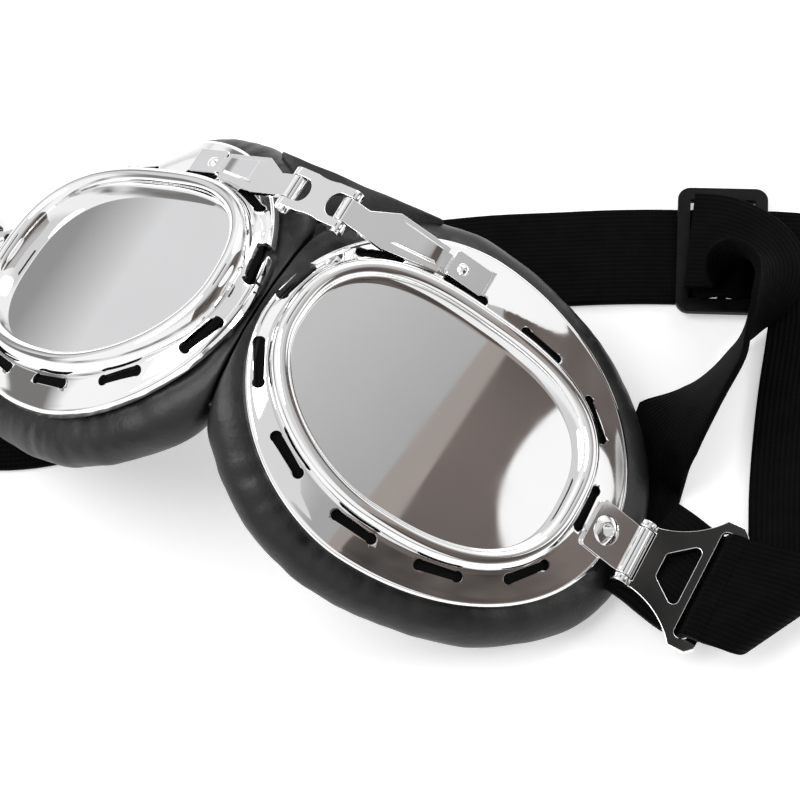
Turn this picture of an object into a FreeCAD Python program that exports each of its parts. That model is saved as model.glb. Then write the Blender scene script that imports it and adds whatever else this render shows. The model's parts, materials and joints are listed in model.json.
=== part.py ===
import FreeCAD, Part
import math
import os
from FreeCAD import Placement, Rotation, Vector

# Folding riding goggles lying on their back, lenses up. Lengths are in millimetres, angles in degrees.
# The part stands on Z = 0. X runs across the face, Y to the forehead, Z to the front of the lenses.
# Each eye has its own frame: u away from the nose, v to the forehead, w out of the lens,
# with its centre at the crest of the lens rim. The left eye is the mirror of the right.

# Place and fold of the eyes
eye_spacing = 80.4
wrap_angle = 28.0
fold_limit_angle = 15.0
rest_flat = 1.45

# Fits
seat_gap = 0.05
soft_gap = 0.3
running_gap = 0.05
cut_overrun = 20.0

# Lens opening, measured from the eye centre, and how square its four corners are
lens_outer = 34.6
lens_top = 22.3
lens_nose = 31.8
lens_bottom = 22.6
lens_corner_shares = (2.85, 2.65, 1.85, 2.4)
lens_thickness = 1.8
lens_overlap = 2.4

# Raised lens rim
rim_width = 4.7
rim_height = 4.2
rim_round_share = 2.5
rim_step_count = 10

# Frame: sloping flange with a rolled edge, a lens seat and vents
flange_outer = 49.6
flange_top = 39.5
flange_nose = 39.6
flange_bottom = 35.3
flange_corner_shares = (2.05, 1.9, 1.85, 2.0)
flange_drop = 1.7
frame_wall = 1.0
edge_roll = 1.2
edge_lip = 1.5
crease_margin = 0.3
lens_side_gap = 0.6
ledge_width = 1.8
ledge_wall = 0.8
vent_count = 11
vent_length = 11.0
vent_width = 1.9
vent_from_crease = 1.1
vent_first_angle = 4.5

# Rubber seal under the lens
seal_thickness = 0.6

# Padded leather ring: width and depth of its roll, and the roll's outline from the front tuck
# round the outside, the face side and the inside
cushion_reach = 6.3
cushion_inset = 8.4
cushion_depth = 15.0
temple_swell = 3.0
leather_thickness = 1.2
roll_outline_shares = (
    (0.46, 0.00),
    (0.50, 0.10),
    (0.70, 0.15),
    (0.88, 0.26),
    (0.99, 0.43),
    (1.00, 0.62),
    (0.90, 0.83),
    (0.70, 0.97),
    (0.44, 1.00),
    (0.20, 0.90),
    (0.05, 0.68),
    (0.00, 0.40),
    (0.03, 0.12),
    (0.06, 0.01),
)

# Leather gusset that closes the gap between the two rolls at the nose, and its saddle behind the bridge
gusset_top = 3.6
gusset_depth = 11.0
gusset_low = 22.0
gusset_high = 33.5
gusset_tab_half = 1.2
saddle_start = 26.0
saddle_end = 38.4
saddle_half = 9.2
saddle_start_drop = 5.6
saddle_end_drop = 12.4
saddle_thickness = 2.2

# Bridge hinge: pin, plates bent through a slot in each frame, link and anchor tabs
pin_from_eye = 36.0
pin_forehead = 27.2
pin_radius = 1.0
pin_head = 0.5
barrel_radius = 1.9
bridge_sheet = 1.2
knuckle_length = 5.6
link_leg = 2.0
knuckle_gap = 0.15
neck_start = 32.0
shoulder_from_eye = 26.0
plate_end = 12.6
plate_low_near = 24.3
plate_low_far = 27.3
plate_high = 33.6
pad_margin = 1.1
pad_height = 0.7
pad_slope = 0.5
tongue_length = 2.8
tongue_gap = 0.15
boss_margin = 0.9
boss_end = 1.6
boss_start_inset = 3.6
boss_start_drop = 4.5
tab_gap = 0.4
tab_end = 2.4
tab_low = 28.3
tab_high = 34.6
tab_sheet = 0.8
tab_corner = 0.8
link_window_reach = 4.1
link_waist = 0.35
link_waist_radius = 9.0
bridge_rivet_from_eye = 8.6
bridge_rivet_forehead = 31.2
bridge_rivet_radius = 0.8
bridge_rivet_head = 1.4
bridge_rivet_dome = 0.7

# Side clip, its hollow rivet and the strap buckle that swings in its barrel
clip_start = 42.6
clip_forehead = 1.3
clip_half_width = 5.7
clip_sheet = 1.0
clip_corner = 1.2
clip_axis = 55.2
bar_radius = 1.2
clip_barrel_radius = 2.2
side_rivet_from_eye = 46.6
side_rivet_radius = 2.0
side_rivet_bore = 1.3
side_rivet_head = 3.3
side_rivet_dome = 1.0
buckle_sheet = 1.4
buckle_ear = 1.6
ear_gap = 0.2
buckle_neck = 2.8
buckle_length = 20.4
buckle_side_share = 0.3
buckle_corner = 1.6
bar_eye_half = 2.2
slot_bar = 2.2
slot_width = 3.2
slot_side_gap = 0.5
slot_side_wall = 2.4
slot_corner = 1.3
window_from_slot = 2.0
window_length = 6.6
window_near_half = 2.8
window_far_half = 8.2
window_corner = 1.2

# Elastic strap. Each route is a table of places measured from a buckle's slot or from the slider, as shares
# of the strap's reach: x away from there, y to the forehead, the height and the turn of the band about its
# own line. Heights from a slot are shares of the slot's height above the strap that lies on the table.
strap_width = 25.0
strap_thickness = 1.4
strap_crown = 0.35
strap_reach = 100.0
strap_step_count = 4
table_gap = 0.15
hem_length = 16.5
hem_drop = 1.9
hem_skew = 3.6
hem_shares = ((1.0, 1.0, 1.0), (0.73, 0.7, 0.6), (0.42, 0.25, 0.05), (0.15, 0.0, 0.0))
slot_rise_shares = ((-0.25, -0.5), (0.0, 0.0), (0.28, 0.55), (0.81, 0.8), (1.3, 0.86))
roll_corner_x = 5.0
roll_radius = 5.0
roll_heading_angle = 10.0
roll_axis_angle = 62.0
roll_step_count = 10
left_slot_shares = (
    (0.125, -0.013, 1.26, -30),
    (0.200, -0.083, 1.28, -90),
    (0.185, -0.213, 1.24, -95),
    (0.085, -0.313, 0.92, -130),
    (-0.045, -0.353, 0.21, -172),
    (-0.205, -0.363, 0, -180),
    (-0.365, -0.343, 0, -180),
    (-0.505, -0.268, 0, -180),
    (-0.615, -0.153, 0, -180),
    (-0.735, 0.017, 0, -180),
)
to_slider_shares = (
    (-0.720, -0.420, 0, -180),
    (-0.497, -0.262, 0, -180),
    (-0.330, -0.170, 0, -180),
    (-0.230, -0.116, 0, -180),
)
from_slider_shares = (
    (0.185, 0.062, 0.002, -180),
    (0.237, 0.028, 0.003, -180),
    (0.274, -0.038, 0.002, -180),
    (0.302, -0.120, 0, -180),
)
right_slot_shares = (
    (0.010, 0.567, 0, -180),
    (0.050, 0.447, 0, -180),
    (0.095, 0.327, 0.04, -180),
    (0.140, 0.222, 0.21, -180),
)
return_slider_shares = (
    (-0.070, -0.030, 0.024, 0),
    (-0.005, -0.007, 0.027, 2),
    (0.060, -0.008, 0.036, 12),
    (0.113, -0.044, 0.078, 42),
    (0.143, -0.110, 0.098, 76),
    (0.153, -0.195, 0.102, 92),
)
return_slot_shares = (
    (-0.172, 0.510, 1.16, 108),
    (-0.195, 0.405, 0.98, 122),
    (-0.226, 0.320, 0.70, 143),
    (-0.247, 0.267, 0.36, 161),
    (-0.256, 0.235, 0.14, 172),
)

# Strap slider: a flat frame with a middle bar
slider_x = 70.0
slider_y = 81.0
slider_angle = 24.0
slider_length = 21.0
slider_width = 33.0
slider_sheet = 1.8
slider_bar = 3.0
slider_middle_bar = 2.0
slider_side_gap = 0.5
slider_corner = 3.0
slider_lift = 0.5

# Values worked out from the sizes
crease = rim_width + crease_margin
foot = -rim_height
flange_edge = foot - flange_drop
lip_end = flange_edge - edge_roll - edge_lip
lens_back = foot - lens_thickness
ledge_front = lens_back - seal_thickness
ledge_back = ledge_front - ledge_wall
seat_wall = lens_overlap + lens_side_gap
ledge_inner = lens_overlap - ledge_width
cushion_front = min(flange_edge - frame_wall, ledge_back) - soft_gap
cushion_width = cushion_reach + cushion_inset
slot_half = strap_width / 2 + slot_side_gap
buckle_wide_half = slot_half + slot_side_wall
wrap = math.radians(wrap_angle)
lens_shape = (lens_outer, lens_top, lens_nose, lens_bottom, lens_corner_shares)
flange_shape = (flange_outer, flange_top, flange_nose, flange_bottom, flange_corner_shares)
OUTLINE_POINTS = 44
outline_start_share = -1.5
FLAT = Vector(0, 0, 1)


def polar(shape, angle):
    """Point of a four-cornered oval at an angle about its centre."""
    outer, top, nose, bottom, corners = shape
    across = math.cos(angle)
    up = math.sin(angle)
    reach = outer if across >= 0 else nose
    rise = top if up >= 0 else bottom
    quarter = int((angle % (2 * math.pi)) // (math.pi / 2))
    power = corners[quarter]
    size = (abs(across) / reach) ** power + (abs(up) / rise) ** power
    radius = size ** (-1 / power)
    return Vector(radius * across, radius * up, 0)


def outward(shape, angle):
    """Unit vector square to the oval, pointing out."""
    step = math.radians(0.5)
    along = polar(shape, angle + step) - polar(shape, angle - step)
    return Vector(along.y, -along.x, 0).normalize()


def oval_point(shape, angle, offset, depth):
    return polar(shape, angle) + outward(shape, angle) * offset + FLAT * depth


def oval_edge(shape, offset, depth):
    """Closed smooth line at a set distance outside an oval."""
    turn = 2 * math.pi / OUTLINE_POINTS
    angles = [(i + outline_start_share) * turn for i in range(OUTLINE_POINTS)]
    points = [oval_point(shape, angle, offset, depth) for angle in angles]
    curve = Part.BSplineCurve()
    curve.interpolate(Points=points, PeriodicFlag=True)
    return curve.toShape()


def closed_solid(faces):
    shell = Part.Shell(faces)
    shell.sewShape()
    solid = Part.Solid(shell)
    if solid.Volume < 0:
        solid.reverse()
    return solid


def ring(stations):
    """Solid ring whose closed section is a list of (oval, offset, depth)."""
    edges = [oval_edge(*station) for station in stations]
    faces = [Part.makeRuledSurface(a, b) for a, b in zip(edges, edges[1:] + edges[:1])]
    return closed_solid(faces)


def plate(points, low, high):
    """Flat plate between two heights."""
    loop = Part.makePolygon([Vector(x, y, low) for x, y in points + points[:1]])
    return Part.Face(loop).extrude(FLAT * (high - low))


def block(low, high):
    size = high - low
    return Part.makeBox(size.x, size.y, size.z, low)


def round_corners(body, corner):
    """Round the upright edges of a plate."""
    upright = [e for e in body.Edges if abs(e.tangentAt(0).z) > 0.9]
    return body.makeFillet(corner, upright)


def round_plate(low, high, corner):
    """Flat plate with rounded corners."""
    return round_corners(block(low, high), corner)


def along_y(x, y, z, radius, length):
    """Round bar along Y, centred on y."""
    return Part.makeCylinder(radius, length, Vector(x, y - length / 2, z), Vector(0, 1, 0))


def vent_angles():
    """Angles that space the vents evenly along the crease."""
    steps = 720
    offset = crease + vent_from_crease
    first = math.radians(vent_first_angle)
    angles = [first + 2 * math.pi * i / steps for i in range(steps + 1)]
    points = [oval_point(lens_shape, a, offset, 0) for a in angles]
    lengths = [0]
    for a, b in zip(points, points[1:]):
        lengths.append(lengths[-1] + (b - a).Length)
    wanted = [lengths[-1] * i / vent_count for i in range(vent_count)]
    return [angles[min(range(steps), key=lambda k: abs(lengths[k] - w))] for w in wanted]


def vent_cutter(angle):
    """Slot with round ends, lying along the crease."""
    centre = oval_point(lens_shape, angle, crease + vent_from_crease, 0)
    out = outward(lens_shape, angle)
    half = (vent_length - vent_width) / 2
    low = lip_end - cut_overrun
    depth = foot + cut_overrun - low
    body = Part.makeBox(2 * half, vent_width, depth, Vector(-half, -vent_width / 2, low))
    for end in (-half, half):
        body = body.fuse(Part.makeCylinder(vent_width / 2, depth, Vector(end, 0, low)))
    turn = math.degrees(math.atan2(out.y, out.x)) + 90
    body.Placement = Placement(centre, Rotation(FLAT, turn))
    return body


# Heights of the bridge and side hardware on the flange
pin_w = foot + frame_wall / 2 - barrel_radius + bridge_sheet - seat_gap
plate_under = pin_w + barrel_radius - bridge_sheet
clip_slope = math.atan2(flange_drop, flange_outer - edge_roll - lens_outer - crease)


def flange_height(u):
    """Height of the flange's top on the outer side."""
    return foot - math.tan(clip_slope) * (u - lens_outer - crease)


clip_under = flange_height(side_rivet_from_eye) + seat_gap
clip_place = Placement(
    Vector(side_rivet_from_eye, clip_forehead, clip_under),
    Rotation(Vector(0, 1, 0), math.degrees(clip_slope)),
)
clip_length = (clip_axis - side_rivet_from_eye) / math.cos(clip_slope)


def on_clip(shape):
    """Lay a piece built flat at the rivet on the slope of the flange."""
    shape.Placement = clip_place.multiply(shape.Placement)
    return shape


def make_frame():
    under = foot - frame_wall
    half_roll = edge_roll * (1 - math.cos(math.pi / 4))
    roll_end = flange_edge - edge_roll
    body = ring([
        (lens_shape, seat_wall, foot),
        (lens_shape, crease, foot),
        (flange_shape, -edge_roll, flange_edge),
        (flange_shape, -half_roll, flange_edge - half_roll),
        (flange_shape, 0, roll_end),
        (flange_shape, 0, lip_end),
        (flange_shape, -frame_wall, lip_end),
        (flange_shape, -frame_wall, roll_end),
        (flange_shape, -edge_roll, flange_edge - frame_wall),
        (lens_shape, crease, under),
        (lens_shape, seat_wall + frame_wall, under),
        (lens_shape, seat_wall + frame_wall, ledge_back),
        (lens_shape, ledge_inner, ledge_back),
        (lens_shape, ledge_inner, ledge_front),
        (lens_shape, seat_wall, ledge_front),
    ])
    boss_low_near = plate_low_near + boss_margin
    boss_low_far = plate_low_far + boss_margin
    boss = plate(
        [
            (-shoulder_from_eye + boss_start_inset, boss_low_near),
            (-plate_end, boss_low_far),
            (-boss_end, tab_low + boss_margin),
            (-boss_end, tab_high + boss_margin),
            (-plate_end, plate_high - boss_margin),
            (-shoulder_from_eye + boss_start_inset, plate_high - boss_start_drop),
        ],
        flange_edge - frame_wall / 2,
        plate_under,
    )
    body = body.fuse(boss)
    tongue_half = bridge_sheet / 2 + tongue_gap
    slot = block(
        Vector(-plate_end - tongue_half, plate_low_far + pad_margin - tongue_gap, lip_end - cut_overrun),
        Vector(-plate_end + tongue_half, plate_high - pad_margin + tongue_gap, foot + cut_overrun),
    )
    cutters = [vent_cutter(angle) for angle in vent_angles()] + [slot]
    rivet_depth = foot - lip_end + cut_overrun
    bridge_hole = Part.makeCylinder(
        bridge_rivet_radius + seat_gap,
        rivet_depth + cut_overrun,
        Vector(-bridge_rivet_from_eye, bridge_rivet_forehead, foot - rivet_depth),
    )
    side_hole = on_clip(Part.makeCylinder(
        side_rivet_radius + seat_gap, 2 * cut_overrun, Vector(0, 0, -cut_overrun)))
    return body.cut(cutters + [bridge_hole, side_hole])


def make_lens_rim():
    stations = []
    for i in range(rim_step_count + 1):
        turn = math.pi * i / rim_step_count
        across = math.copysign(abs(math.cos(turn)) ** (2 / rim_round_share), math.cos(turn))
        rise = max(0, math.sin(turn)) ** (2 / rim_round_share)
        stations.append((lens_shape, rim_width / 2 * (1 - across), foot + rim_height * rise))
    return ring(stations)


def make_lens():
    edge = oval_edge(lens_shape, lens_overlap, lens_back)
    return Part.Face(Part.Wire(edge)).extrude(FLAT * lens_thickness)


def make_lens_seal():
    return ring([
        (lens_shape, ledge_inner, ledge_front),
        (lens_shape, lens_overlap, ledge_front),
        (lens_shape, lens_overlap, lens_back),
        (lens_shape, ledge_inner, lens_back),
    ])


def roll_section():
    """Section of the padded roll: distance from the flange edge and depth."""
    return [
        (across * cushion_width - cushion_inset, cushion_front - down * cushion_depth)
        for across, down in roll_outline_shares
    ]


def drawn_in(section, distance):
    """The same open section moved square to itself, towards the foam."""
    moved = []
    for i, (across, depth) in enumerate(section):
        before = section[max(i - 1, 0)]
        after = section[min(i + 1, len(section) - 1)]
        along = Vector(after[0] - before[0], after[1] - before[1], 0).normalize()
        moved.append((across + along.y * distance, depth - along.x * distance))
    front = cushion_front
    moved[0] = (moved[0][0], front)
    moved[-1] = (moved[-1][0], front)
    return moved


def roll_oval(across):
    """The flange's oval, swelled at the temple towards the outside of the roll."""
    outside = max(0, 2 * (across + cushion_inset) / cushion_width - 1)
    return (flange_outer + temple_swell * outside, *flange_shape[1:])


def as_ring(section):
    return ring([(roll_oval(across), across, depth) for across, depth in section])


def make_cushion_cover():
    outside = roll_section()
    outside[0] = (outside[0][0], cushion_front)
    outside[-1] = (outside[-1][0], cushion_front)
    return as_ring(outside + drawn_in(outside, leather_thickness)[::-1])


def make_cushion_foam():
    return as_ring(drawn_in(roll_section(), leather_thickness + seat_gap))


# Height of the eyes above the table: the padded roll at the temple rests on it
lowest = min(
    depth * math.cos(wrap) - (roll_oval(across)[0] + across) * math.sin(wrap)
    for across, depth in roll_section()
)
eye_height = -lowest - rest_flat
eye_place = Placement(Vector(eye_spacing / 2, 0, eye_height), Rotation(Vector(0, 1, 0), wrap_angle))
pin_place = eye_place.multVec(Vector(-pin_from_eye, pin_forehead, pin_w))
bar_place = eye_place.multVec(clip_place.multVec(Vector(clip_length, 0, clip_sheet / 2)))


def fold(shape, angle):
    """Turn a piece of the right eye about the bridge pin."""
    shape.rotate(pin_place, Vector(0, 1, 0), angle)
    return shape


def trim_cushion(shape):
    """Cut the roll level at the table, and at the nose where the two rolls meet when folded."""
    reach = eye_spacing + flange_outer
    table = block(Vector(-reach, -reach, -cut_overrun - rest_flat), Vector(reach, reach, 0))
    nose = block(Vector(-reach, -reach, pin_place.z - reach), Vector(soft_gap, reach, pin_place.z + reach))
    return shape.cut([table, fold(nose, -fold_limit_angle)])


def make_bridge_plate():
    half = knuckle_length / 2
    top = pin_w + barrel_radius
    body = plate(
        [
            (-pin_from_eye, pin_forehead - half),
            (-neck_start, pin_forehead - half),
            (-shoulder_from_eye, plate_low_near),
            (-plate_end - bridge_sheet / 2, plate_low_far),
            (-plate_end - bridge_sheet / 2, plate_high),
            (-shoulder_from_eye, plate_high),
            (-neck_start, pin_forehead + half),
            (-pin_from_eye, pin_forehead + half),
        ],
        plate_under,
        top,
    )
    pad_low = [
        (-shoulder_from_eye + pad_margin, plate_low_near + 2 * pad_margin),
        (-plate_end - bridge_sheet / 2 - pad_margin, plate_low_far + pad_margin),
        (-plate_end - bridge_sheet / 2 - pad_margin, plate_high - pad_margin),
        (-shoulder_from_eye + pad_margin, plate_high - pad_margin),
    ]
    middle = sum((Vector(x, y, 0) for x, y in pad_low), Vector()) / len(pad_low)
    shrink = 1 - 2 * pad_slope / (plate_high - plate_low_far)
    pad_high = [((x - middle.x) * shrink + middle.x, (y - middle.y) * shrink + middle.y) for x, y in pad_low]
    loops = []
    for points, height in ((pad_low, top), (pad_high, top + pad_height)):
        loops.append(Part.makePolygon([Vector(x, y, height) for x, y in points + points[:1]]))
    pad = Part.makeLoft(loops, True, True)
    tongue = block(
        Vector(-plate_end - bridge_sheet / 2, plate_low_far + pad_margin, plate_under - tongue_length),
        Vector(-plate_end + bridge_sheet / 2, plate_high - pad_margin, top),
    )
    barrel = along_y(-pin_from_eye, pin_forehead, pin_w, barrel_radius, knuckle_length)
    bore = along_y(-pin_from_eye, pin_forehead, pin_w, pin_radius, knuckle_length + cut_overrun)
    return body.fuse([pad, tongue, barrel]).cut(bore).removeSplitter()


def make_anchor_tab():
    body = round_plate(
        Vector(-plate_end + bridge_sheet / 2 + tab_gap, tab_low, plate_under),
        Vector(-tab_end, tab_high, plate_under + tab_sheet),
        tab_corner,
    )
    hole = Part.makeCylinder(
        bridge_rivet_radius + seat_gap,
        tab_sheet + cut_overrun,
        Vector(-bridge_rivet_from_eye, bridge_rivet_forehead, plate_under - cut_overrun / 2),
    )
    return body.cut(hole)


def dome_head(radius, height):
    """Low round head on z = 0."""
    ball = (radius * radius + height * height) / (2 * height)
    cap = Part.makeSphere(ball, Vector(0, 0, height - ball))
    keep = Part.makeCylinder(radius, height)
    return cap.common(keep)


def make_bridge_rivet():
    head = dome_head(bridge_rivet_head, bridge_rivet_dome)
    shank_length = plate_under + tab_sheet - flange_edge + frame_wall
    shank = Part.makeCylinder(bridge_rivet_radius, shank_length, Vector(0, 0, -shank_length))
    body = head.fuse(shank)
    body.translate(Vector(-bridge_rivet_from_eye, bridge_rivet_forehead, plate_under + tab_sheet))
    return body


def make_hinge_pin():
    length = knuckle_length + 2 * (link_leg + knuckle_gap + pin_head)
    return along_y(-pin_from_eye, pin_forehead, pin_w, pin_radius, length)


def make_side_clip():
    start = (clip_start - side_rivet_from_eye) / math.cos(clip_slope)
    sheet = round_plate(
        Vector(start, -clip_half_width, 0),
        Vector(clip_length - bar_radius, clip_half_width, clip_sheet),
        clip_corner,
    )
    bridge = block(
        Vector(clip_length - clip_barrel_radius - clip_corner, -clip_half_width, 0),
        Vector(clip_length - bar_radius, clip_half_width, clip_sheet),
    )
    width = 2 * clip_half_width
    barrel = along_y(clip_length, 0, clip_sheet / 2, clip_barrel_radius, width)
    bore = along_y(clip_length, 0, clip_sheet / 2, bar_radius + running_gap, width + cut_overrun)
    hole = Part.makeCylinder(side_rivet_radius + seat_gap, 2 * cut_overrun, Vector(0, 0, -cut_overrun))
    return on_clip(sheet.fuse([bridge, barrel]).cut([bore, hole]))


def make_side_rivet():
    head = dome_head(side_rivet_head, side_rivet_dome)
    head.translate(FLAT * clip_sheet)
    shank_length = clip_sheet + frame_wall + 2 * seat_gap
    shank = Part.makeCylinder(side_rivet_radius, shank_length, Vector(0, 0, clip_sheet - shank_length))
    bore = Part.makeCylinder(side_rivet_bore, 2 * cut_overrun, Vector(0, 0, -cut_overrun))
    return on_clip(head.fuse(shank).cut(bore))


def make_buckle():
    """Right buckle, built flat and level at the bar of its clip."""
    ear_half = clip_half_width + ear_gap + buckle_ear
    slot_far = buckle_length - slot_bar
    slot_near = slot_far - slot_width
    low = Vector(0, 0, -buckle_sheet / 2)
    bow = slot_near - buckle_neck
    side = [Vector(buckle_neck, ear_half, 0)]
    side_half = ear_half + buckle_side_share * (buckle_wide_half - ear_half)
    side.append(Vector(buckle_neck + bow / 2, side_half, 0))
    side.append(Vector(slot_near, buckle_wide_half, 0))
    upper = Part.Arc(*side).toShape()
    mirrored = [Vector(p.x, -p.y, 0) for p in side[::-1]]
    lower = Part.Arc(*mirrored).toShape()
    corners = [
        side[2],
        Vector(buckle_length - buckle_corner, buckle_wide_half, 0),
        Vector(buckle_length, buckle_wide_half - buckle_corner, 0),
        Vector(buckle_length, buckle_corner - buckle_wide_half, 0),
        Vector(buckle_length - buckle_corner, -buckle_wide_half, 0),
        mirrored[0],
    ]
    end = Part.makePolygon(corners).Edges
    ears = Part.makePolygon([
        mirrored[2],
        Vector(-bar_radius, -ear_half, 0),
        Vector(-bar_radius, ear_half, 0),
        side[0],
    ]).Edges
    loop = Part.Wire(Part.__sortEdges__([upper] + end + [lower] + ears))
    body = Part.Face(loop).extrude(FLAT * buckle_sheet)
    body.translate(low)
    bar_gap = block(
        Vector(-bar_radius - cut_overrun, ear_half * -1 + buckle_ear, -cut_overrun),
        Vector(clip_barrel_radius + ear_gap, ear_half - buckle_ear, cut_overrun),
    )
    slot = round_plate(
        Vector(slot_near, -slot_half, -cut_overrun),
        Vector(slot_far, slot_half, cut_overrun),
        slot_corner,
    )
    window_far = slot_near - window_from_slot
    window_near = window_far - window_length
    window = plate(
        [
            (window_near, -window_near_half),
            (window_far, -window_far_half),
            (window_far, window_far_half),
            (window_near, window_near_half),
        ],
        -cut_overrun,
        cut_overrun,
    )
    window = round_corners(window, window_corner)
    eyes = along_y(0, 0, 0, bar_eye_half, 2 * ear_half)
    eyes = eyes.cut(bar_gap)
    bar = along_y(0, 0, 0, bar_radius, 2 * ear_half)
    body = body.cut([bar_gap, slot, window]).fuse([eyes, bar]).removeSplitter()
    body.translate(bar_place)
    return body


def make_bridge_link():
    """Link between the two pins, with an opening beside each pin and a waist above and below."""
    half = knuckle_length / 2 + knuckle_gap
    outer = half + link_leg
    top = pin_place.z + barrel_radius
    under = top - bridge_sheet
    body = block(
        Vector(-pin_place.x, pin_forehead - outer, under),
        Vector(pin_place.x, pin_forehead + outer, top),
    )
    knuckles = []
    bores = []
    cutters = []
    for side in (-1, 1):
        x = side * pin_place.x
        for end in (-1, 1):
            y = pin_forehead + end * (half + link_leg / 2)
            knuckles.append(along_y(x, y, pin_place.z, barrel_radius, link_leg))
        bores.append(along_y(x, pin_forehead, pin_place.z, pin_radius + running_gap, 2 * outer + cut_overrun))
        straight = barrel_radius + knuckle_gap
        window = Part.makeCylinder(half, bridge_sheet + cut_overrun, Vector(0, 0, -cut_overrun / 2))
        stretch = FreeCAD.Matrix()
        stretch.scale((link_window_reach - straight) / half, 1, 1)
        window = window.transformGeometry(stretch)
        window.translate(Vector(x - side * straight, pin_forehead, under))
        cutters.append(window)
        cutters.append(block(
            Vector(x - straight, pin_forehead - half, under - cut_overrun),
            Vector(x + straight, pin_forehead + half, under + cut_overrun),
        ))
        waist_y = pin_forehead + side * (outer + link_waist_radius - link_waist)
        cutters.append(Part.makeCylinder(
            link_waist_radius, bridge_sheet + cut_overrun, Vector(0, waist_y, under - cut_overrun / 2)))
    return body.cut(cutters).fuse(knuckles).cut(bores)


def nose_cut_x(drop):
    """How far the right roll stands from the middle, at a drop below the pin."""
    limit = math.radians(fold_limit_angle)
    inset = pin_place.x - soft_gap
    along = (drop - inset * math.sin(limit)) / math.cos(limit)
    return pin_place.x - inset * math.cos(limit) + along * math.sin(limit)


def make_nose_gusset():
    deep = gusset_top + gusset_depth
    wide_top = nose_cut_x(gusset_top) - soft_gap
    wide_deep = nose_cut_x(deep) - soft_gap
    section = [
        Vector(-wide_deep, -gusset_low, pin_place.z - deep),
        Vector(wide_deep, -gusset_low, pin_place.z - deep),
        Vector(wide_top, -gusset_low, pin_place.z - gusset_top),
        Vector(-wide_top, -gusset_low, pin_place.z - gusset_top),
    ]
    wedge = Part.Face(Part.makePolygon(section + section[:1]))
    wedge = wedge.extrude(Vector(0, gusset_low + gusset_high, 0))
    tab_half = min(gusset_tab_half, wide_top)
    tab = block(
        Vector(-tab_half, pin_forehead - link_leg, pin_place.z - deep + gusset_depth / 2),
        Vector(tab_half, pin_forehead + link_leg, pin_place.z + barrel_radius - bridge_sheet - soft_gap),
    )
    near_under = Vector(-saddle_half, saddle_start, pin_place.z - saddle_start_drop)
    far_under = Vector(-saddle_half, saddle_end, pin_place.z - saddle_end_drop)
    thick = FLAT * saddle_thickness
    side = Part.makePolygon([near_under, far_under, far_under + thick, near_under + thick, near_under])
    saddle = Part.Face(side).extrude(Vector(2 * saddle_half, 0, 0))
    return wedge.fuse([tab, saddle]).removeSplitter()


def place_of(curve, turns, t):
    """Two edge points of a strap at one place of its middle line."""
    ahead = curve.tangent(t)[0]
    level = ahead.cross(FLAT).normalize()
    upright = level.cross(ahead).normalize()
    turn = math.radians(turns.value(t).x)
    wide = (level * math.cos(turn) + upright * math.sin(turn)) * (strap_width / 2)
    middle = curve.value(t)
    middle.z = max(middle.z, strap_low + abs(wide.z))
    return middle - wide, middle + wide


def stations_along(route):
    """Edge points of a strap along a smooth line. Each place is (x, y, z, turn about the line)."""
    curve = Part.BSplineCurve()
    curve.interpolate(Points=[Vector(x, y, z) for x, y, z, turn in route])
    turns = Part.BSplineCurve()
    steps = [Vector(place[3], i, 0) for i, place in enumerate(route)]
    knots = curve.getKnots()
    turns.interpolate(Points=steps, Parameters=knots)
    stops = []
    for a, b in zip(knots, knots[1:]):
        stops += [a + (b - a) * i / strap_step_count for i in range(strap_step_count)]
    return [place_of(curve, turns, t) for t in stops + knots[-1:]]


def rolled_turn(corner, heading_angle, axis_angle, radius):
    """Edge points of a strap that rolls under itself about a slanting line that starts at a corner."""
    heading = Vector(math.cos(math.radians(heading_angle)), math.sin(math.radians(heading_angle)), 0)
    axis = Vector(math.cos(math.radians(axis_angle)), math.sin(math.radians(axis_angle)), 0)
    out = axis.cross(FLAT)
    across = FLAT.cross(heading) * strap_width
    stations = []
    for i in range(roll_step_count + 1):
        turn = math.pi * i / roll_step_count
        pair = []
        for start in (across, Vector()):
            travel = (radius * turn - start.dot(out)) / heading.dot(out)
            along = start.dot(axis) + travel * heading.dot(axis)
            drop = radius * (1 - math.cos(turn))
            pair.append(corner + axis * along + out * (radius * math.sin(turn)) - FLAT * drop)
        stations.append(tuple(pair))
    return stations


def band(stations):
    """Solid strap through pairs of edge points."""
    sections = []
    for i, (left, right) in enumerate(stations):
        before = stations[max(i - 1, 0)]
        after = stations[min(i + 1, len(stations) - 1)]
        ahead = after[0] + after[1] - before[0] - before[1]
        thick = (right - left).cross(ahead).normalize() * (strap_thickness / 2)
        sections.append([left + thick, right + thick, right - thick, left - thick])
    same_way = 1
    faces = []
    for near, far in zip(sections, sections[1:]):
        for i in range(len(near)):
            near_edge = Part.makeLine(near[i - 1], near[i])
            far_edge = Part.makeLine(far[i - 1], far[i])
            faces.append(Part.makeRuledSurface(near_edge, far_edge, same_way))
    for corners in (sections[0], sections[-1]):
        faces.append(Part.Face(Part.makePolygon(corners + corners[:1])))
    return closed_solid(faces)


def mirrored(shape):
    return shape.mirror(Vector(), Vector(1, 0, 0))


# Heights and places that the strap follows
strap_low = table_gap + strap_thickness / 2
slider_under = table_gap + strap_thickness + slider_lift
slider_top = slider_under + slider_sheet
strap_over = slider_top + soft_gap + strap_thickness / 2
slot_x = bar_place.x + buckle_length - slot_bar - slot_width / 2
slot_z = bar_place.z
under_buckle = slot_z - buckle_sheet / 2 - soft_gap - strap_thickness / 2
slider_turn = math.radians(slider_angle)


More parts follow.
